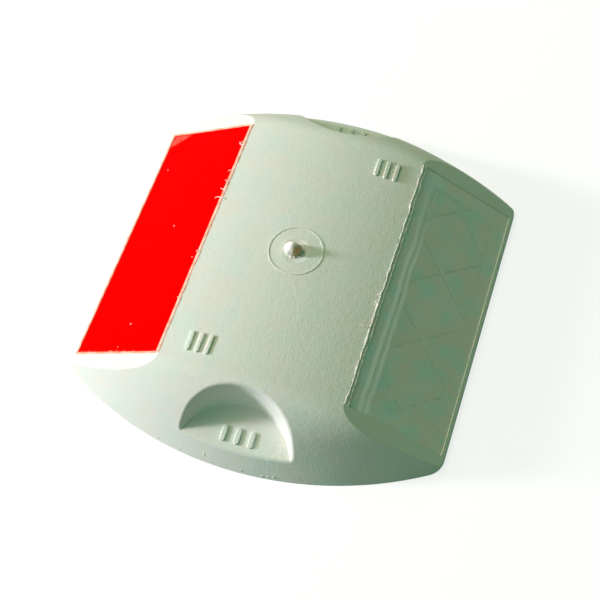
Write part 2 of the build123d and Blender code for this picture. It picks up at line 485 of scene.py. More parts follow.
def body_plastic():
    """Matt moulded plastic with grain and a drifting tint."""
    material, tree, shader = new_material("grained_body_plastic")
    place = object_place(tree)
    grain = use_group(tree, GRAIN, Place=place, Grain=BODY_GRAIN, Swell=BODY_SWELL)
    drift = use_group(tree, DRIFT, Place=place, Patch=BODY_PATCH)
    colour = three_tints(tree, drift, BODY_PALE, BODY_GREEN, BODY_PINK, BODY_PINK_SHARE)
    dress(tree, shader, colour, grain["Tone"], BODY_ROUGHNESS, BODY_GLOSS)
    add_bump(tree, shader, grain["Height"], BODY_BUMP, BODY_BUMP_DEPTH)
    return material


BODY_PLASTIC = body_plastic()
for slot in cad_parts["body_shell"].material_slots:
    slot.material = BODY_PLASTIC
print("body finish", BODY_PLASTIC.name)

# %% [markdown]
# ## Lens axes
# Each lens lies in a sloping seat. It could be modelled in its place, with slanting sums for every
# corner. It is easier to think about one flat on the table, with x across it, y along it and z out
# of its face, and to tilt it at the end. The CAD box of the lens gives its middle and its size, and
# the same tilt goes into a Mapping node, so that the lens materials can talk about the inner edge
# or the far corner.

# %% Lens axes
LENS_SLOPE = 30.6  # degrees above the road
LENS_THICKNESS = 0.8 * MM
RED_SIDE = -1  # along x, and so the way that the lens slopes
CLEAR_SIDE = 1


def plate_size(node_name, thickness):
    """Width across the slope, length and thickness of a tilted plate, from its CAD box."""
    low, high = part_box(node_name)
    slope = math.radians(LENS_SLOPE)
    width = (high.x - low.x - thickness * math.sin(slope)) / math.cos(slope)
    return Vector((width, high.y - low.y, thickness))


def plate_frame(node_name, side):
    """A tilted plate's axes, from its middle: x to the clear side, y along it, z out of its face."""
    low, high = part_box(node_name)
    return Matrix.Translation((low + high) / 2) @ turned(side * LENS_SLOPE, "Y")


def plate_place(tree, node_name, side):
    """Where a point is on a tilted plate, in the plate's own axes."""
    axes = plate_frame(node_name, side)
    inputs = {"Vector": object_place(tree), "Location": axes.translation, "Rotation": axes.to_euler()}
    return node(tree, "ShaderNodeMapping", inputs, vector_type="TEXTURE").outputs[0]


LENS_SIZE = plate_size("clear_lens", LENS_THICKNESS)
LENS_HALF = LENS_SIZE / 2
print("lens in mm", in_mm(*LENS_SIZE))

# %% [markdown]
# ## Prism sheets
# Behind each lens lies a sheet of corner prisms, sealed to crossed ribs of the body so that each
# field keeps its own pocket of air. The seal lines show through the clear lens as faint crosses.
# They could be drawn in the material, but pressed lines catch the light from every side. The sheet
# is a thin block that planes cut along each line. The narrow strips between two cuts are then
# pressed in by extruding them downwards.

# %% Seal lines
RIB_PITCH = 18.4 * MM
RIB_RUN = 21.8 * MM  # width of the recess that the ribs cross from edge to edge
RIB_ROWS = 3
RIB_TURNS = (-1, 1)


def seal_lines():
    """A point on each seal line and the direction across it, in the sheet's own axes."""
    lean = math.atan2(RIB_PITCH, RIB_RUN)
    lines = []
    for row in range(-RIB_ROWS, RIB_ROWS):
        for turn in RIB_TURNS:
            across = Vector((-turn * math.sin(lean), math.cos(lean), 0))
            lines.append((Vector((0, (row + 0.5) * RIB_PITCH, 0)), across))
    return lines


print("seal lines", len(seal_lines()))

# %% Block helpers
def block(size):
    """A bmesh of a plain block about the origin."""
    shape = bmesh.new()
    bmesh.ops.create_cube(shape, size=1)
    bmesh.ops.scale(shape, vec=size, verts=shape.verts)
    return shape


def whole(shape):
    """Every vertex, edge and face of a bmesh."""
    return shape.verts[:] + shape.edges[:] + shape.faces[:]


def of_kind(items, kind):
    """The items of one kind, such as the vertices, out of what an operator made."""
    return [item for item in items if isinstance(item, kind)]


tell(block, whole, of_kind)

# %% Sheet shape
SHEET_THICKNESS = 0.4 * MM
AIR_FILM = 0.04 * MM  # between the lens, the prism sheet and the body
SEAL_WIDTH = 0.55 * MM
SEAL_DEPTH = 0.06 * MM
SEAL_SLOT = 1  # the sheet's second material
FACING_UP = 0.5  # least z of the normal of a face on top


def on_seal_line(face):
    """Whether a face on top lies between the two cuts of a seal line."""
    centre = face.calc_center_median()
    near = any(abs((centre - middle).dot(across)) < SEAL_WIDTH / 2 for middle, across in seal_lines())
    return near and face.normal.z > FACING_UP


def sheet_shape(node_name, side):
    """A thin block with its seal lines pressed in. The pressed strips take the second material."""
    size = plate_size(node_name, SHEET_THICKNESS)
    shape = block((size.x, size.y, size.z - 2 * AIR_FILM))
    for middle, across in seal_lines():
        for edge in (-SEAL_WIDTH / 2, SEAL_WIDTH / 2):
            place = middle + across * edge
            bmesh.ops.bisect_plane(shape, geom=whole(shape), plane_co=place, plane_no=across)
    shape.normal_update()
    strips = [face for face in shape.faces if on_seal_line(face)]
    pressed = bmesh.ops.extrude_face_region(shape, geom=strips, use_keep_orig=True)["geom"]
    bmesh.ops.delete(shape, geom=strips, context="FACES")
    sunk = of_kind(pressed, bmesh.types.BMVert)
    bmesh.ops.translate(shape, vec=(0, 0, -SEAL_DEPTH), verts=sunk)
    for face in of_kind(pressed, bmesh.types.BMFace):
        face.material_index = SEAL_SLOT
    bmesh.ops.transform(shape, matrix=plate_frame(node_name, side), verts=shape.verts)
    return shape


print("sheet in mm", in_mm(*plate_size("clear_prism_sheet", SHEET_THICKNESS)))

# %% [markdown]
# ## Plastics of the prism sheets
# The prisms are as clear as the lenses, but light that comes back out of them takes a tint that
# drifts from field to field. Where the sheet is sealed the prisms are gone, and the line is flat
# and darker. One material with a mask could show both, but the pressed strips are faces of their
# own, so they simply get a second material.

# %% Sheet plastics
PRISM_PITCH = 0.5 * MM
SHEET_PATCH = 6 * MM
SHEET_THIRD_SHARE = 0.8
PRISM_BUMP = 0.4
PRISM_BUMP_DEPTH = 0.05 * MM
PRISM_ROUGHNESS = (0.5, 0.3)
SEAL_PATCH = 2.5 * MM
SEAL_ROUGHNESS = (0.35, 0.5)
SHEET_GLOSS = 0.1


def prism_plastic(name, node_name, side, *tints):
    """The prism sheet's plastic: rows of corner prisms under a drifting tint."""
    material, tree, shader = new_material(name)
    prisms = use_group(tree, PRISMS, Place=plate_place(tree, node_name, side), Pitch=PRISM_PITCH)
    drift = use_group(tree, DRIFT, Place=object_place(tree), Patch=SHEET_PATCH)
    tint = three_tints(tree, drift, *tints, SHEET_THIRD_SHARE)
    dress(tree, shader, tint, prisms["Height"], PRISM_ROUGHNESS, SHEET_GLOSS)
    add_bump(tree, shader, prisms["Height"], PRISM_BUMP, PRISM_BUMP_DEPTH)
    return material


def two_tone_plastic(name, patch, colour, second, roughness, gloss):
    """A plain plastic with a second colour in patches."""
    material, tree, shader = new_material(name)
    drift = use_group(tree, DRIFT, Place=object_place(tree), Patch=patch)
    tint = blend(tree, drift["First"], colour, second)
    dress(tree, shader, tint, drift["Second"], roughness, gloss)
    return material


tell(prism_plastic, two_tone_plastic)

# %% Place the prism sheets
CLEAR_SHEET = (0.90, 0.87, 0.82, 1)
CLEAR_SHEET_GREEN = (0.70, 0.88, 0.84, 1)
CLEAR_SHEET_PINK = (0.96, 0.82, 0.75, 1)
CLEAR_SEAL = (0.66, 0.71, 0.64, 1)
RED_SHEET = (0.82, 0.0, 0.0, 1)
RED_SHEET_DEEP = (0.78, 0.0, 0.0, 1)
RED_SEAL = (0.70, 0.0, 0.0, 1)


def add_piece(piece, slot_name, *replaced):
    """Fixes a piece to the stud and says which CAD nodes it stands for. slot_name, the name of its finish,
    is not used.
    """
    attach(piece, "root")
    if replaced:
        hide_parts(*replaced)


red_tints = (RED_SHEET, RED_SHEET_DEEP, RED_SHEET)
red_prisms = prism_plastic("red_prisms", "red_prism_sheet", RED_SIDE, *red_tints)
red_seals = two_tone_plastic("red_seals", SEAL_PATCH, RED_SEAL, RED_SHEET_DEEP, SEAL_ROUGHNESS,
                             SHEET_GLOSS)
red_shape = sheet_shape("red_prism_sheet", RED_SIDE)
red_sheet = link_mesh("red_sealed_sheet", red_shape, red_prisms, red_seals)
add_piece(red_sheet, "red_prism", "red_prism_sheet")

clear_tints = (CLEAR_SHEET, CLEAR_SHEET_GREEN, CLEAR_SHEET_PINK)
clear_prisms = prism_plastic("clear_prisms", "clear_prism_sheet", CLEAR_SIDE, *clear_tints)
clear_seals = two_tone_plastic("clear_seals", SEAL_PATCH, CLEAR_SEAL, CLEAR_SHEET, SEAL_ROUGHNESS,
                               SHEET_GLOSS)
clear_shape = sheet_shape("clear_prism_sheet", CLEAR_SIDE)
clear_sheet = link_mesh("clear_sealed_sheet", clear_shape, clear_prisms, clear_seals)
add_piece(clear_sheet, "clear_prism", "clear_prism_sheet")

# %% [markdown]
# ## Lens plates
# Each lens is a thin plate with small round corners and a softened rim that catches a line of
# light. It could be a drawn outline that is extruded. A cube with two bevels is quicker and gives
# just that: the first rounds the upright corner edges, and the second takes the edges of the top
# face.

# %% Lens plates
LENS_CORNER = 0.6 * MM
LENS_EDGE = 0.16 * MM
CORNER_STEPS = 5
EDGE_STEPS = 2
ROUND_PROFILE = 0.5


def round_off(shape, edges, radius, steps):
    """Rounds edges with a bevel."""
    bmesh.ops.bevel(shape, geom=edges, offset=radius, offset_type="OFFSET", affect="EDGES", segments=steps,
                    profile=ROUND_PROFILE, material=-1)


def upright_edges(shape, least):
    """The edges that rise by more than the least height."""
    return [edge for edge in shape.edges if abs(edge.verts[0].co.z - edge.verts[1].co.z) > least]


def top_edges(shape):
    """The edges of the highest face."""
    return max(shape.faces, key=lambda face: face.calc_center_median().z).edges[:]


def lens_shape(node_name, side):
    """A thin plate with round corners and a soft rim, tilted into its seat."""
    size = plate_size(node_name, LENS_THICKNESS)
    shape = block((size.x, size.y, size.z - AIR_FILM))
    bmesh.ops.translate(shape, vec=(0, 0, AIR_FILM / 2), verts=shape.verts)
    round_off(shape, upright_edges(shape, LENS_THICKNESS / 2), LENS_CORNER, CORNER_STEPS)
    round_off(shape, top_edges(shape), LENS_EDGE, EDGE_STEPS)
    bmesh.ops.transform(shape, matrix=plate_frame(node_name, side), verts=shape.verts)
    return shape


print("lens corner in mm", in_mm(LENS_CORNER))

# %% [markdown]
# ## Red lens
# The red lens is so deep in colour that little shows through it. A paler wedge in its far outer corner is a
# painted reflection, a painted glint runs along its long edges, and pale flecks lie along its near edge.
# The masks measure how far a point is from the edges in the lens's own axes, which an image could only do
# for one size of lens.

# %% Painted reflection in the corner
SHEEN_REACH = 8.0 * MM  # along the far edge, from the outer corner
SHEEN_LEAN = 1.7  # how many times further it reaches along the far edge than down the outer edge
SHEEN_SOFT = 0.75  # share of the reach at which it begins to fade
SHEEN_FROM_EDGE = (0.3 * MM, 0.7 * MM)
SHEEN_PATCH = 1.2 * MM
SHEEN_PATCH_EDGE = (0.2, 0.55)


def painted_sheen_mask(tree, place):
    """A paler wedge in the far outer corner of the red lens: a painted reflection."""
    axes = axes_of(tree, place)
    from_outer = sum_of(tree, "ADD", axes["X"], LENS_HALF.x)
    from_far = sum_of(tree, "SUBTRACT", LENS_HALF.y, axes["Y"])
    reach = sum_of(tree, "ADD", from_outer, sum_of(tree, "MULTIPLY", from_far, SHEEN_LEAN))
    wedge = ramp(tree, reach, SHEEN_REACH, SHEEN_SOFT * SHEEN_REACH)
    inside = ramp(tree, sum_of(tree, "MINIMUM", from_outer, from_far), *SHEEN_FROM_EDGE)
    patchy = ramp(tree, noise(tree, place, SHEEN_PATCH), *SHEEN_PATCH_EDGE)
    return sum_of(tree, "MULTIPLY", wedge, inside, patchy)


print("painted sheen reaches, in mm", in_mm(SHEEN_REACH))

# %% Painted edge glint and flecks
GLINT_EDGE = (0.35 * MM, 0.1 * MM)  # from a long edge, where the painted glint begins and is full
FLECK_EDGE = (0.8 * MM, 0.3 * MM)  # the same for the near edge
FLECK_SIZE = 0.6 * MM
FLECK_NOISE = (0.5, 0.75)


def glint_and_fleck_mask(tree, place):
    """1 along the long edges of a lens, for a painted glint, and in flecks along its near short edge."""
    axes = axes_of(tree, place)
    from_middle = sum_of(tree, "ABSOLUTE", axes["X"])
    long_edges = ramp(tree, from_middle, *[LENS_HALF.x - inset for inset in GLINT_EDGE])
    near_edge = ramp(tree, axes["Y"], *[inset - LENS_HALF.y for inset in FLECK_EDGE])
    flecks = ramp(tree, noise(tree, place, FLECK_SIZE), *FLECK_NOISE)
    return sum_of(tree, "MAXIMUM", long_edges, sum_of(tree, "MULTIPLY", near_edge, flecks))


print("glint edge in mm", in_mm(*GLINT_EDGE))

# %% Red lens plastic
RED_TINT = (0.86, 0.0, 0.0, 1)
RED_DEEP = (0.84, 0.0, 0.0, 1)
RED_PAINTED_SHEEN = (0.90, 0.12, 0.08, 1)
RED_GLEAM = (1.0, 0.12, 0.10, 1)  # of what the red lens mirrors
RED_RIM_GLINT_AND_FLECKS = (0.90, 0.30, 0.18, 1)
RED_PATCH = 5 * MM
RED_COVER = (0.92, 0.96)
RED_ROUGHNESS = (0.16, 0.24)
RED_GLOSS = 0.01


def red_lens_plastic():
    """Clear red plastic, with a painted reflection at one corner, a painted glint along its long edges and
    pale flecks along its near edge.
    """
    material, tree, shader = new_material("red_lens_plastic")
    place = plate_place(tree, "red_lens", RED_SIDE)
    drift = use_group(tree, DRIFT, Place=object_place(tree), Patch=RED_PATCH)
    tint = blend(tree, drift["First"], RED_TINT, RED_DEEP)
    # painted reflection: a paler wedge in the far outer corner
    tint = blend(tree, painted_sheen_mask(tree, place), tint, RED_PAINTED_SHEEN)
    # painted glint along the long edges, and pale flecks along the near edge
    tint = blend(tree, glint_and_fleck_mask(tree, place), tint, RED_RIM_GLINT_AND_FLECKS)
    dress(tree, shader, tint, drift["Second"], RED_ROUGHNESS, RED_GLOSS)
    put(tree, shader.inputs["Alpha"], ramp(tree, drift["Second"], 0, 1, *RED_COVER))
    put(tree, shader.inputs["Specular Tint"], RED_GLEAM)
    return material


red_plate = link_mesh("red_lens_plate", lens_shape("red_lens", RED_SIDE), red_lens_plastic())
add_piece(red_plate, "red_lens", "red_lens")

# %% [markdown]
# ## Clear lens
# The clear lens hardly shows where it is clean. The weld has clouded it along its edges, and two
# pale streaks along its inner edge are partly weld clouding and partly a painted highlight, where
# raised melt lines would catch the light. Glass-like refraction would be the other way to make it,
# but the plate is thin and lies on its sheet, so a colour with an alpha is enough: low where the
# lens is clean and high where it is clouded.

# %% Weld streaks and their painted highlight
STREAK_MIDDLES = (3.15 * MM, 4.8 * MM)  # from the inner edge of the lens
STREAK_WIDTH = 0.85 * MM  # from the middle of a streak to where it has faded
STREAK_CORE = 0.2  # share of the width that is full
STREAK_WANDER = 0.3 * MM
STREAK_LENGTH = 9 * MM  # of each bend
BEND_NOISE = (0.2, 0.8)
OUTER_STREAK = 0.8  # strength of the second streak
SPECK_SIZE = 0.4 * MM
SPECK_NOISE = (0.3, 0.6)
SPECK_STRENGTH = (0.8, 1.0)
STREAK_FADE = (24 * MM, 6 * MM)  # along the lens, from the far part to the near one
STREAK_STRENGTH = (0.35, 1.0)


def weld_streaks_and_highlight(tree, place):
    """Two pale streaks along the inner edge of the clear lens, strongest in its near half: weld clouding
    with a painted highlight.
    """
    axes = axes_of(tree, place)
    bends = ramp(tree, noise(tree, place, STREAK_LENGTH), *BEND_NOISE, -STREAK_WANDER, STREAK_WANDER)
    from_inner = sum_of(tree, "ADD", axes["X"], LENS_HALF.x, bends)
    lines = []
    for middle in STREAK_MIDDLES:
        aside = sum_of(tree, "ABSOLUTE", sum_of(tree, "SUBTRACT", from_inner, middle))
        lines.append(ramp(tree, aside, STREAK_WIDTH, STREAK_CORE * STREAK_WIDTH))
    streaks = sum_of(tree, "MAXIMUM", lines[0], sum_of(tree, "MULTIPLY", lines[1], OUTER_STREAK))
    speckled = ramp(tree, noise(tree, place, SPECK_SIZE), *SPECK_NOISE, *SPECK_STRENGTH)
    near_half = ramp(tree, axes["Y"], *STREAK_FADE, *STREAK_STRENGTH)
    return sum_of(tree, "MULTIPLY", streaks, speckled, near_half)


print("streaks at, in mm", in_mm(*STREAK_MIDDLES))

# %% Welded border
WELD_BORDER = (4.2 * MM, 2.8 * MM)  # from the edge of the lens, where the cloud begins and is full


def welded_border(tree, place):
    """1 along the edges of a lens, where it lies on the ledge of its seat."""
    axes = axes_of(tree, place)
    from_side = sum_of(tree, "SUBTRACT", LENS_HALF.x, sum_of(tree, "ABSOLUTE", axes["X"]))
    from_end = sum_of(tree, "SUBTRACT", LENS_HALF.y, sum_of(tree, "ABSOLUTE", axes["Y"]))
    return ramp(tree, sum_of(tree, "MINIMUM", from_side, from_end), *WELD_BORDER)


def seen_only(tree, alpha):
    """An alpha that counts for what is seen, while the light itself passes the lens."""
    path = node(tree, "ShaderNodeLightPath").outputs
    light = sum_of(tree, "MAXIMUM", path["Is Shadow Ray"], path["Is Diffuse Ray"])
    return sum_of(tree, "MULTIPLY", alpha, sum_of(tree, "SUBTRACT", 1.0, light))


print("border in mm", in_mm(*WELD_BORDER))

# %% Clear lens plastic
CLEAR_TINT = (0.89, 0.86, 0.81, 1)
CLEAR_TINT_GREEN = (0.70, 0.88, 0.84, 1)
CLEAR_TINT_PINK = (0.95, 0.82, 0.75, 1)
WELD_CLOUD_AND_HIGHLIGHT = (0.98, 0.98, 0.96, 1)
CLEAR_COVER = (0.15, 0.9)
CLEAR_ROUGHNESS = (0.16, 0.26)
CLEAR_GLOSS = 0.1
STREAK_COAT_ROUGHNESS = 0.2


def clear_lens_plastic():
    """Clear plastic with a drifting tint, clouded by the weld along its edges, and glossy streaks whose
    paleness is partly a painted highlight.
    """
    material, tree, shader = new_material("clear_lens_plastic")
    place = plate_place(tree, "clear_lens", CLEAR_SIDE)
    streaks = weld_streaks_and_highlight(tree, place)
    cloudy = sum_of(tree, "MAXIMUM", streaks, welded_border(tree, place))
    drift = use_group(tree, DRIFT, Place=object_place(tree), Patch=SHEET_PATCH)
    tint = three_tints(tree, drift, CLEAR_TINT, CLEAR_TINT_GREEN, CLEAR_TINT_PINK, SHEET_THIRD_SHARE)
    # painted highlight: the streaks are paler partly for the light that raised melt lines would catch
    tint = blend(tree, streaks, tint, WELD_CLOUD_AND_HIGHLIGHT)
    dress(tree, shader, tint, drift["Second"], CLEAR_ROUGHNESS, CLEAR_GLOSS)
    put(tree, shader.inputs["Alpha"], seen_only(tree, ramp(tree, cloudy, 0, 1, *CLEAR_COVER)))
    put(tree, shader.inputs["Coat Weight"], streaks)
    put(tree, shader.inputs["Coat Roughness"], STREAK_COAT_ROUGHNESS)
    return material


clear_plate = link_mesh("clear_lens_plate", lens_shape("clear_lens", CLEAR_SIDE), clear_lens_plastic())
add_piece(clear_plate, "clear_lens", "clear_lens")

# %% [markdown]
# ## Finding the surface
# The small traces that follow sit on the body or on a lens, and their height isn't known
# beforehand. It could be worked out from the sizes of the part. A ray that falls straight down on
# the CAD solids is simpler: it finds the surface and the way it faces, so each trace stands on what
# carries it.

# %% Surface finder
DOWN = Vector((0, 0, -1))
RAY_START = 2 * cad_box[1].z
TEST_PLACE = 10 * MM  # along x and y, on the crown


def solid_tree():
    """A search tree over the body and the two lenses."""
    points = []
    faces = []
    for name in ("body_shell", "red_lens", "clear_lens"):
        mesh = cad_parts[name].data
        first = len(points)
        points += [vertex.co.copy() for vertex in mesh.vertices]
        faces += [[first + index for index in polygon.vertices] for polygon in mesh.polygons]
    return BVHTree.FromPolygons(points, faces)


SOLIDS = solid_tree()


def surface_below(x, y):
    """The point of the stud below a place, and the way that the surface faces there."""
    point, normal, _, _ = SOLIDS.ray_cast(Vector((x, y, RAY_START)), DOWN)
    return point, normal


def standing(x, y, turn):
    """Axes on the surface: z out of it, and x along the traffic, turned by some degrees."""
    point, normal = surface_below(x, y)
    ahead = (Vector((1, 0, 0)) - normal * normal.x).normalized()
    axes = Matrix((ahead, normal.cross(ahead), normal)).transposed().to_4x4()
    return Matrix.Translation(point) @ axes @ turned(turn, "Z")


print("crown at, in mm", in_mm(surface_below(TEST_PLACE, TEST_PLACE)[0].z))

# %% [markdown]
# ## Melt
# Welding squeezes a little plastic out of the seams, and it sets as a pale froth with a pink cast.
# It could be built of bubbles, but they would be too small to see, so a finer grain than the body's
# does for it. The flash, the curls, the hair and the crumbs below share this one material.

# %% Melt plastic
MELT_PALE = (0.88, 0.85, 0.78, 1)
MELT_PINK = (0.86, 0.74, 0.66, 1)
MELT_PATCH = 1.2 * MM
MELT_GRAIN = 0.12 * MM
MELT_SWELL = 0.4 * MM
MELT_BUMP = 0.5
MELT_BUMP_DEPTH = 0.05 * MM
MELT_ROUGHNESS = (0.4, 0.6)


def melt_plastic():
    """Frothy melt: pale, with pink in small blotches, and rough."""
    material, tree, shader = new_material("weld_melt")
    place = object_place(tree)
    drift = use_group(tree, DRIFT, Place=place, Patch=MELT_PATCH)
    grain = use_group(tree, GRAIN, Place=place, Grain=MELT_GRAIN, Swell=MELT_SWELL)
    tint = blend(tree, drift["First"], MELT_PALE, MELT_PINK)
    dress(tree, shader, tint, drift["Second"], MELT_ROUGHNESS)
    add_bump(tree, shader, grain["Height"], MELT_BUMP, MELT_BUMP_DEPTH)
    return material


MELT = melt_plastic()
print("melt", MELT.name)

# %% [markdown]
# ## Threads
# Flash, beads, curls and hairs are all threads of set plastic. A curve with a round bevel would
# give one too, but it would have to be made a mesh afterwards, and its thickness is harder to
# change on the way. Here a thread is a small disc that is extruded from point to point, and turned
# and re-sized at each.

# %% Threads
THREAD_SIDES = 6


def thread(shape, points, radii):
    """Adds a closed thread through points: a disc that is extruded and re-sized from point to point."""
    disc = bmesh.ops.create_circle(shape, cap_ends=True, segments=THREAD_SIDES, radius=1)["verts"]
    tip = disc[0].link_faces[0]
    before = Matrix.Identity(MATRIX_SIZE)
    for index, point in enumerate(points):
        if index > 0:
            grown = bmesh.ops.extrude_face_region(shape, geom=[tip], use_keep_orig=True)["geom"]
            if index > 1:
                bmesh.ops.delete(shape, geom=[tip], context="FACES_ONLY")
            tip = of_kind(grown, bmesh.types.BMFace)[0]
        ahead = points[min(index + 1, len(points) - 1)] - points[max(index - 1, 0)]
        size = Vector((radii[index],) * 3)
        axes = Matrix.LocRotScale(point, ahead.to_track_quat("Z", "X"), size)
        bmesh.ops.transform(shape, matrix=axes @ before.inverted(), verts=tip.verts)
        before = axes


print("thread sides", THREAD_SIDES)

# %% [markdown]
# ## Weld flash
# When the clear lens was welded in, a ragged thread of melt with a few lumps was squeezed out along
# the edge of the crown, and a second one without lumps lies beside it on the lens. It could be
# sculpted by hand. Points that wander a little and a thickness that changes, from a random source
# with a fixed seed, look as ragged and come out the same in each run.

# %% Flash shape
FLASH_STEP = 0.6 * MM
WANDER_KEPT = 0.6  # share of the wander that stays from step to step
LUMP_REACH = 1.2 * MM
LUMP_SPREAD = (0.6, 1.2)


def flash_shape(seam_x, radius, spread, wander, lift, lumps, seed):
    """A ragged thread along a lens's inner edge. Its radius varies by the spread and grows at lumps."""
    chance = random.Random(seed)
    points = []
    radii = []
    steps = round(LENS_SIZE.y / FLASH_STEP)
    aside = 0.0
    for index in range(steps + 1):
        y = -LENS_SIZE.y / 2 + index * LENS_SIZE.y / steps
        aside = WANDER_KEPT * aside + chance.gauss(0, wander)
        point, normal = surface_below(seam_x + aside, y)
        thick = chance.uniform(*spread)
        for place, times in lumps.items():
            nearness = max(0.0, 1 - abs(y - place * MM) / LUMP_REACH)
            thick += nearness * (times - 1) * chance.uniform(*LUMP_SPREAD)
        radii.append(radius * thick)
        points.append(point + normal * radii[-1] * lift)
    shape = bmesh.new()
    thread(shape, points, radii)
    return shape


print("flash steps", round(LENS_SIZE.y / FLASH_STEP))

# %% Weld flash
FLASH_X = 21.95 * MM
FLASH_RADIUS = 0.14 * MM
FLASH_SPREAD = (0.65, 1.15)
FLASH_WANDER = 0.05 * MM
FLASH_LIFT = 0.4  # of the middle above the surface, in radii
FLASH_LUMPS = {  # millimetres along the lens, and how many times as thick
    31.5: 1.9, 20.8: 2.1, 2.1: 1.5, -7.4: 2.6, -10.9: 1.8, -16.8: 2.7, -24.3: 1.6,
}
FLASH_SEED = 11
NO_LUMPS = {}
LENS_FLASH_X = 22.6 * MM
LENS_FLASH_RADIUS = 0.19 * MM
LENS_FLASH_SPREAD = (0.5, 1.25)
LENS_FLASH_LIFT = 0.6
LENS_FLASH_SEED = 13

flash = flash_shape(FLASH_X, FLASH_RADIUS, FLASH_SPREAD, FLASH_WANDER, FLASH_LIFT, FLASH_LUMPS, FLASH_SEED)
add_piece(link_mesh("clear_weld_flash", flash, MELT), "clear_lens")
lens_flash = flash_shape(LENS_FLASH_X, LENS_FLASH_RADIUS, LENS_FLASH_SPREAD, FLASH_WANDER,
                         LENS_FLASH_LIFT, NO_LUMPS, LENS_FLASH_SEED)
add_piece(link_mesh("clear_fine_flash", lens_flash, MELT), "clear_lens")

# %% [markdown]
# ## Curls and a hair
# A few torn curls of melt stick out along the inner edges of both lenses, and a thin hair of
# plastic lies on the crown. Hair strands could be grown as particles, but these few each have their
# own place. A curl is a thread that sets out from the seam in some direction and bends as it goes,
# close over the surface.

# %% Curl helpers
CURL_STEPS = 7
CURL_RADIUS = 0.13 * MM
CURL_RISE = 0.25 * MM
CURL_TAPER = 0.6  # how much thinner a curl is at its tip


def curl(shape, start, heading, length, bend, radius, rise):
    """Adds a thread that runs close over the surface and bends as it goes."""
    place = start.copy()
    points = []
    radii = []
    for step in range(CURL_STEPS + 1):
        done = step / CURL_STEPS
        point, normal = surface_below(place.x, place.y)
        points.append(point + normal * (radius / 2 + rise * math.sin(math.pi * done)))
        radii.append(radius * (1 - CURL_TAPER * done))
        angle = math.radians(heading + bend * done)
        place += Vector((math.cos(angle), math.sin(angle), 0)) * length * MM / CURL_STEPS
    thread(shape, points, radii)


def seam_curls(seam_x, curls):
    """All the curls of one seam."""
    shape = bmesh.new()
    for along, heading, length, bend in curls:
        curl(shape, Vector((seam_x, along * MM, 0)), heading, length, bend, CURL_RADIUS, CURL_RISE)
    return shape


print("curl steps", CURL_STEPS)

# %% Curls and a hair
SEAM_X = -22.3 * MM  # of the red lens
RED_CURLS = (  # millimetres along the seam, first heading, length in millimetres, bend in degrees
    (27.9, 200, 1.6, 90), (26.6, 165, 2.0, -70), (18.7, 170, 1.2, 50), (14.3, 70, 2.2, 130),
    (13.0, 195, 1.5, -90), (10.3, 150, 1.9, 60), (10.0, 20, 1.2, -80), (-5.2, 185, 0.8, 40),
    (-18.5, 175, 0.7, -30),
)
CLEAR_CURLS = ((-5.0, 150, 1.0, 40), (-7.0, 170, 0.9, -30), (-13.5, 195, 2.4, -25), (29.5, 170, 0.8, 40))
HAIR = (Vector((12.5, 22.8, 0)) * MM, -16, 2.8, 14)  # start, heading, length in mm, bend
HAIR_RADIUS = 0.06 * MM
HAIR_RISE = 0.0

add_piece(link_mesh("red_weld_curls", seam_curls(SEAM_X, RED_CURLS), MELT), "red_lens")
add_piece(link_mesh("clear_weld_curls", seam_curls(FLASH_X, CLEAR_CURLS), MELT), "clear_lens")
hair_shape = bmesh.new()
curl(hair_shape, *HAIR, HAIR_RADIUS, HAIR_RISE)
add_piece(link_mesh("crown_hair", hair_shape, MELT), "body_plastic")

# %% [markdown]
# ## Weld line of the red lens
# Melt has filled the narrow gap round the red lens and shows as a pale orange line. A colour in the
# body's material would show it too, but it stands a little proud. So a thin plate just larger than
# the seat is inset on both of its flat faces. The two middles go, and bridging what is left of them
# leaves a narrow frame. Along the inner edge the melt has run over the rim, so a low bead lies
# there, made as a thread like the flash.

# %% Weld line shape
SEAT_GAP = 0.12 * MM
LINE_LAP = 0.24 * MM  # over the edge of the body
LINE_WIDTH = 0.54 * MM
LINE_RISE = 0.12 * MM  # above the lens, and just above the body
LINE_DEPTH = 0.4 * MM
SIDE_CORNERS = 4  # of each narrow face round the plate


def weld_line_shape(node_name, side):
    """A narrow frame that fills the gap round a lens and laps over both edges."""
    size = plate_size(node_name, LENS_THICKNESS)
    larger = 2 * (SEAT_GAP + LINE_LAP)
    shape = block((size.x + larger, size.y + larger, LINE_DEPTH))
    round_off(shape, upright_edges(shape, LINE_DEPTH / 2), LENS_CORNER, CORNER_STEPS)
    flat = [face for face in shape.faces if len(face.verts) > SIDE_CORNERS]
    bmesh.ops.inset_individual(shape, faces=flat, thickness=LINE_WIDTH, use_even_offset=True)
    inner_edges = [edge for face in flat for edge in face.edges]
    bmesh.ops.delete(shape, geom=flat, context="FACES_ONLY")
    bmesh.ops.bridge_loops(shape, edges=inner_edges)
    top = LENS_THICKNESS / 2 + LINE_RISE
    bmesh.ops.translate(shape, vec=(0, 0, top - LINE_DEPTH / 2), verts=shape.verts)
    bmesh.ops.transform(shape, matrix=plate_frame(node_name, side), verts=shape.verts)
    return shape


print("line in mm", in_mm(LINE_WIDTH))

# %% Weld line and bead
LINE_PALE = (0.88, 0.54, 0.43, 1)  # where the body's plastic shows
LINE_RED = (0.82, 0.34, 0.22, 1)  # where the lens's does
LINE_PATCH = 2 * MM
LINE_ROUGHNESS = (0.4, 0.6)
LINE_GLOSS = 0.1
BEAD_X = -21.98 * MM
BEAD_RADIUS = 0.28 * MM
BEAD_SPREAD = (0.85, 1.15)
BEAD_WANDER = 0.03 * MM
BEAD_LIFT = -0.5  # sunk, so that only its top shows
BEAD_SEED = 7

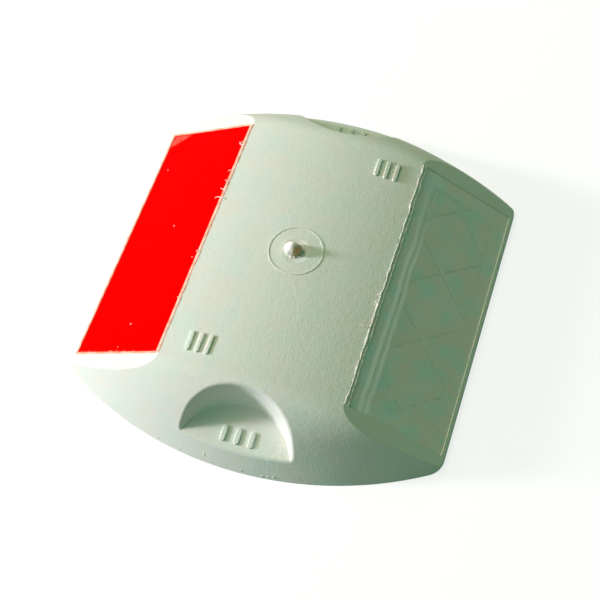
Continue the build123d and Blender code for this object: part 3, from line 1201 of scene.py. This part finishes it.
LINE_PLASTIC = two_tone_plastic("red_weld_line", LINE_PATCH, LINE_PALE, LINE_RED, LINE_ROUGHNESS,
                                LINE_GLOSS)
red_line = link_mesh("red_weld_line", weld_line_shape("red_lens", RED_SIDE), LINE_PLASTIC)
add_piece(red_line, "red_lens")
red_bead = flash_shape(BEAD_X, BEAD_RADIUS, BEAD_SPREAD, BEAD_WANDER, BEAD_LIFT, NO_LUMPS, BEAD_SEED)
add_piece(link_mesh("red_weld_bead", red_bead, LINE_PLASTIC), "red_lens")

# %% [markdown]
# ## Crumbs and pimples
# A few crumbs of melt have settled on the red lens and at the foot of the feed stub, and the near
# end has a row of small pimples where the mould was worn. Noise in the material could make specks,
# but not just in these places. Each is a squashed icosphere that sits half in the surface.

# %% Crumbs and pimples
LENS_CRUMBS = ((-41.8, 21.5), (-32.7, -25.3), (-33.5, -31.6), (-23.6, -6.9), (-32.5, 3.0))  # x and y in mm
STUB_CRUMBS = ((-0.6, -1.75), (0.1, -1.6), (0.9, -1.15))
PIMPLES = (
    (-18.5, -47.5), (-12.9, -48.6), (-6.7, -48.6), (2.4, -49.5), (7.3, -49.3), (8.7, -49.1), (10.0, -48.9),
)
CRUMB_RADIUS = 0.2 * MM
STUB_CRUMB_RADIUS = 0.4 * MM
PIMPLE_RADIUS = 0.2 * MM
CRUMB_SEED, STUB_CRUMB_SEED, PIMPLE_SEED = 3, 5, 8
BALL_FINENESS = 2
BALL_WIDTH = (0.75, 1.25)  # in radii
BALL_SQUEEZE = (0.7, 1.0)  # the other way, as a share of the width
BALL_HEIGHT = 0.8  # in radii
HALF_TURN = 180  # degrees


def shade_smoothly(shape):
    """Lets the light run smoothly over every face."""
    for face in shape.faces:
        face.smooth = True


def ball_shape(places, radius, seed):
    """Squashed balls of about one radius, half sunk in the surface at each place."""
    chance = random.Random(seed)
    shape = bmesh.new()
    for x, y in places:
        wide = radius * chance.uniform(*BALL_WIDTH)
        size = Matrix.Diagonal((wide, wide * chance.uniform(*BALL_SQUEEZE), BALL_HEIGHT * radius, 1))
        axes = standing(x * MM, y * MM, chance.uniform(0, HALF_TURN))
        bmesh.ops.create_icosphere(shape, subdivisions=BALL_FINENESS, radius=1, matrix=axes @ size)
    shade_smoothly(shape)
    return shape


lens_crumbs = ball_shape(LENS_CRUMBS, CRUMB_RADIUS, CRUMB_SEED)
add_piece(link_mesh("red_lens_crumbs", lens_crumbs, MELT), "red_lens")
stub_crumbs = ball_shape(STUB_CRUMBS, STUB_CRUMB_RADIUS, STUB_CRUMB_SEED)
add_piece(link_mesh("feed_stub_beads", stub_crumbs, MELT), "body_plastic")
pimples = ball_shape(PIMPLES, PIMPLE_RADIUS, PIMPLE_SEED)
add_piece(link_mesh("mould_pimples", pimples, BODY_PLASTIC), "body_plastic")

# %% [markdown]
# ## Raised bars
# The mould has shallow pockets that leave low bars on the stud: three on the crown by each lens,
# and three in each finger grip that keep a wet finger from slipping. An array modifier repeats a
# shape along one line only, and these lie on curved surfaces. So one bar is a cube whose upright
# edges are bevelled until its ends are round, with a softened top. It is copied to each place and
# turned to lie on the surface there.

# %% Bar shape
BAR_TOP_EDGE = 0.18 * MM
BAR_STEPS = 6
BAR_END = 0.495  # radius of the ends in widths, just short of a half, so that a narrow flat is left


def bar_shape(size, places):
    """Low bars with round ends, one at each place."""
    shape = block((size.x, size.y, 2 * size.z))
    round_off(shape, upright_edges(shape, size.z), BAR_END * size.y, BAR_STEPS)
    round_off(shape, top_edges(shape), BAR_TOP_EDGE, EDGE_STEPS)
    model = whole(shape)
    points = shape.verts[:]
    for place in places[1:]:
        copied = bmesh.ops.duplicate(shape, geom=model)["geom"]
        bmesh.ops.transform(shape, matrix=place, verts=of_kind(copied, bmesh.types.BMVert))
    bmesh.ops.transform(shape, matrix=places[0], verts=points)
    return shape


print("bar steps", BAR_STEPS)

# %% Raised bars
CROWN_BAR = Vector((5.0, 1.0, 0.42)) * MM  # length, width and height
CROWN_BAR_PLACES = ((-13.4, -28.8), (14.0, 28.4))  # x and y in mm
CROWN_BAR_PITCH = 2.3  # in mm
GRIP_BAR = Vector((3.8, 1.2, 0.42)) * MM
GRIP_BAR_PLACES = ((0, -43.7), (0, 43.7))
GRIP_BAR_PITCH = 3.3
BAR_ROW = (-1, 0, 1)


def bar_places(middles, pitch):
    """Three places in a row along the traffic at each middle, for bars that lie along the lenses."""
    return [standing((x + step * pitch) * MM, y * MM, RIGHT_ANGLE) for x, y in middles for step in BAR_ROW]


crown_bars = bar_shape(CROWN_BAR, bar_places(CROWN_BAR_PLACES, CROWN_BAR_PITCH))
add_piece(link_mesh("crown_bars", crown_bars, BODY_PLASTIC), "body_plastic")
grip_bars = bar_shape(GRIP_BAR, bar_places(GRIP_BAR_PLACES, GRIP_BAR_PITCH))
add_piece(link_mesh("grip_bars", grip_bars, BODY_PLASTIC), "body_plastic")

# %% [markdown]
# ## Feed stub
# The plastic entered the mould through a feed in the middle of the crown. The stub was twisted off
# while warm, so it is a lumpy nub: a pale ball on one side that runs out into a torn tail on the
# other, coloured brown partly for scorch and partly as painted shade. It could be sculpted, but an
# icosphere is a good start for such a lump, because its points are spread evenly. They are drawn in
# towards the top, stretched into the tail and moved a little by noise, which is the same in each run.

# %% Stub shape
STUB_MIDDLE = Vector((-1.1, 0, 17.75)) * MM  # of the pale ball
STUB_RADIUS = 1.7 * MM
STUB_FINENESS = 4
STUB_TAPER = 0.4  # how much narrower the ball is at its top
STUB_STRETCH = 1.08  # of its upper half
STUB_LEAN = 0.25  # how far the upper half leans towards the clear lens, for each part of its height
TAIL_STRETCH = 1.5
TAIL_FALL = 0.2  # how far the tail falls, for each part of its length
STUB_LUMP = 0.12 * MM
STUB_LUMP_WIDTH = 0.8 * MM


def stub_shape():
    """The lumpy nub of the feed, over the CAD stub."""
    shape = bmesh.new()
    bmesh.ops.create_icosphere(shape, subdivisions=STUB_FINENESS, radius=STUB_RADIUS)
    for vertex in shape.verts:
        place = vertex.co
        high = max(0.0, place.z / STUB_RADIUS)
        place.x *= 1 - STUB_TAPER * high
        place.y *= 1 - STUB_TAPER * high
        if place.x > 0:
            place.x *= TAIL_STRETCH
            place.z -= TAIL_FALL * place.x * high
        if place.z > 0:
            place.z *= STUB_STRETCH
            place.x += STUB_LEAN * place.z
        place += place.normalized() * noise_at(place / STUB_LUMP_WIDTH) * STUB_LUMP
    bmesh.ops.translate(shape, vec=STUB_MIDDLE, verts=shape.verts)
    shade_smoothly(shape)
    return shape


print("stub radius in mm", in_mm(STUB_RADIUS))

# %% [markdown]
# ## Scorch and painted shade of the feed stub
# The torn side of the stub faces away from the low lamp, and its brown is partly scorch and partly
# painted shade. Two separate pieces would meet in too clean a line.
# Here one material changes from white to brown along a slanting line across the stub, and noise
# makes that line ragged.

# %% Feed stub
STUB_WHITE = (0.93, 0.88, 0.82, 1)
STUB_SCORCH_AND_SHADE = (0.62, 0.36, 0.17, 1)
SCORCH_AND_SHADE_FROM = STUB_MIDDLE.x + STUB_RADIUS
SCORCH_AND_SHADE_FADE = 0.7 * MM
SCORCH_AND_SHADE_LEAN = 0.4  # of the line, for each part along the stud
RAGGED_SIZE = 0.6 * MM
RAGGED_REACH = 1.6 * MM
STUB_GRAIN = 0.15 * MM
STUB_SWELL = 0.5 * MM
STUB_BUMP = 0.6
STUB_BUMP_DEPTH = 0.08 * MM
STUB_ROUGHNESS = (0.4, 0.6)


def stub_plastic():
    """Pale plastic, brown on the torn side that faces the clear lens: scorch, and painted shade away from
    the low lamp.
    """
    material, tree, shader = new_material("feed_stub_plastic")
    place = object_place(tree)
    axes = axes_of(tree, place)
    ragged = sum_of(tree, "MULTIPLY", noise(tree, place, RAGGED_SIZE), RAGGED_REACH)
    across = sum_of(tree, "SUBTRACT", axes["X"], sum_of(tree, "MULTIPLY", axes["Y"], SCORCH_AND_SHADE_LEAN))
    # painted shade: the brown also stands for the shade on the side away from the low lamp
    torn_and_shaded = ramp(tree, sum_of(tree, "ADD", across, ragged), SCORCH_AND_SHADE_FROM, SCORCH_AND_SHADE_FROM + SCORCH_AND_SHADE_FADE)
    grain = use_group(tree, GRAIN, Place=place, Grain=STUB_GRAIN, Swell=STUB_SWELL)
    dress(tree, shader, blend(tree, torn_and_shaded, STUB_WHITE, STUB_SCORCH_AND_SHADE), grain["Tone"], STUB_ROUGHNESS)
    add_bump(tree, shader, grain["Height"], STUB_BUMP, STUB_BUMP_DEPTH)
    return material


add_piece(link_mesh("feed_stub_nub", stub_shape(), stub_plastic()), "body_plastic")
